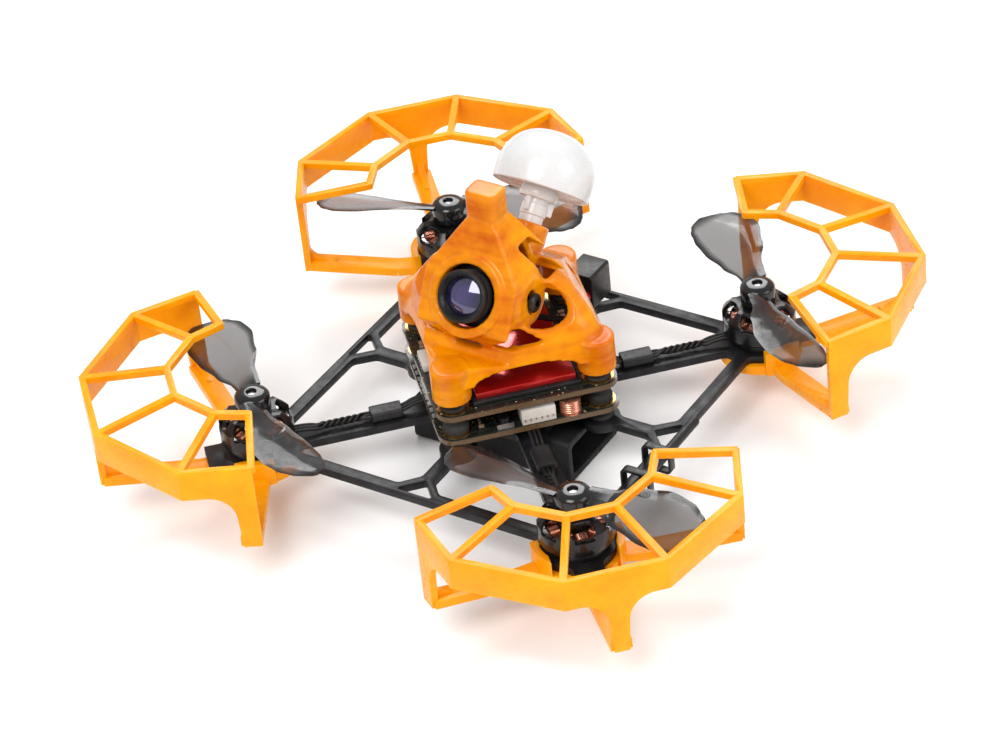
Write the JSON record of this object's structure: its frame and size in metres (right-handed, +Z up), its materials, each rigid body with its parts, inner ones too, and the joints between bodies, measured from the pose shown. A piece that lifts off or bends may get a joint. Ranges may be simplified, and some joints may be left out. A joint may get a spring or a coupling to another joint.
{
  "type": "racing quadcopter",
  "caption": "Small first-person-view racing quadcopter with printed propeller guards, a camera canopy and a mushroom video antenna.",
  "frame": {"origin": "centre of the battery tray's underside, midway between the four motors", "axes": "+Z up along the motors' axes, -Y towards the camera and nose, +X towards the craft's left side"},
  "size_m": [0.1218, 0.1218, 0.0535],
  "materials": {
    "carbon": "woven carbon fibre, satin",
    "tpu_amber": "translucent printed flexible plastic",
    "tpu_orange": "translucent printed flexible plastic",
    "motor_black": "black anodised",
    "stator_steel": "lacquered laminations",
    "copper": "enamelled copper wire",
    "magnet": "nickel plated",
    "steel": "bright",
    "screw_black": "blackened",
    "prop_smoke": "smoky translucent",
    "board_green": "solder mask",
    "shield_dark": "dark cover",
    "sink_red": "red anodised, glossy",
    "silicone": "soft silicone",
    "chip_black": "moulded packages",
    "white_nylon": "moulded nylon",
    "black_plastic": "moulded",
    "wire": "silicone insulation",
    "lens_coat": "coated lens",
    "antenna_white": "white moulded",
    "gold": "gold plated"
  },
  "bodies": {
    "airframe": {"guard_rear_left": "tpu_amber", "motor_base_rear_left": "motor_black", "stator_rear_left": "stator_steel", "guard_rear_right": "tpu_amber", "motor_base_rear_right": "motor_black", "stator_rear_right": "stator_steel", "guard_front_right": "tpu_amber", "motor_base_front_right": "motor_black", "stator_front_right": "stator_steel", "guard_front_left": "tpu_amber", "motor_base_front_left": "motor_black", "stator_front_left": "stator_steel", "frame_plate": "carbon", "windings": "copper", "bearings": "steel", "motor_screws": "screw_black", "aio_board": "board_green", "vtx_board": "board_green", "board_dampers": "silicone", "stack_screws": "screw_black", "vtx_shield": "shield_dark", "heat_sink": "sink_red", "board_connectors": "white_nylon", "board_chips": "chip_black", "power_inductor": "copper", "button_housing": "steel", "battery_tray": "black_plastic", "power_connector": "black_plastic", "connector_pins": "gold", "motor_leads": "wire", "lead_sleeves": "wire", "battery_leads": "wire", "receiver_antenna": "wire", "antenna_ties": "black_plastic", "canopy": "tpu_orange", "antenna_cap": "antenna_white", "antenna_stem": "antenna_white", "antenna_coax": "wire"},
    "rotor_rear_left": {"bell_rear_left": "motor_black", "magnets_rear_left": "magnet", "shaft_rear_left": "steel", "prop_rear_left": "prop_smoke"},
    "rotor_rear_right": {"bell_rear_right": "motor_black", "magnets_rear_right": "magnet", "shaft_rear_right": "steel", "prop_rear_right": "prop_smoke"},
    "rotor_front_right": {"bell_front_right": "motor_black", "magnets_front_right": "magnet", "shaft_front_right": "steel", "prop_front_right": "prop_smoke"},
    "rotor_front_left": {"bell_front_left": "motor_black", "magnets_front_left": "magnet", "shaft_front_left": "steel", "prop_front_left": "prop_smoke"},
    "camera": {"camera_body": "black_plastic", "lens_barrel": "black_plastic", "lens_glass": "lens_coat", "camera_screws": "screw_black"},
    "button": {"boot_button": "black_plastic"}
  },
  "joints": [
    {"name": "spin_rear_left", "type": "hinge", "parent": "airframe", "child": "rotor_rear_left", "pos_m": [0.032, 0.032, 0.015], "axis": [0, 0, 1], "continuous": true},
    {"name": "spin_rear_right", "type": "hinge", "parent": "airframe", "child": "rotor_rear_right", "pos_m": [-0.032, 0.032, 0.015], "axis": [0, 0, 1], "continuous": true},
    {"name": "spin_front_right", "type": "hinge", "parent": "airframe", "child": "rotor_front_right", "pos_m": [-0.032, -0.032, 0.015], "axis": [0, 0, 1], "continuous": true},
    {"name": "spin_front_left", "type": "hinge", "parent": "airframe", "child": "rotor_front_left", "pos_m": [0.032, -0.032, 0.015], "axis": [0, 0, 1], "continuous": true},
    {"name": "camera_tilt", "type": "hinge", "parent": "airframe", "child": "camera", "pos_m": [0, -0.005, 0.0346], "axis": [1, 0, 0], "range_deg": [-5, 5]},
    {"name": "boot_press", "type": "slide", "parent": "airframe", "child": "button", "axis": [0, 0, -1], "range_m": [0, 0.00025], "stiffness_N_per_m": 400}
  ]
}
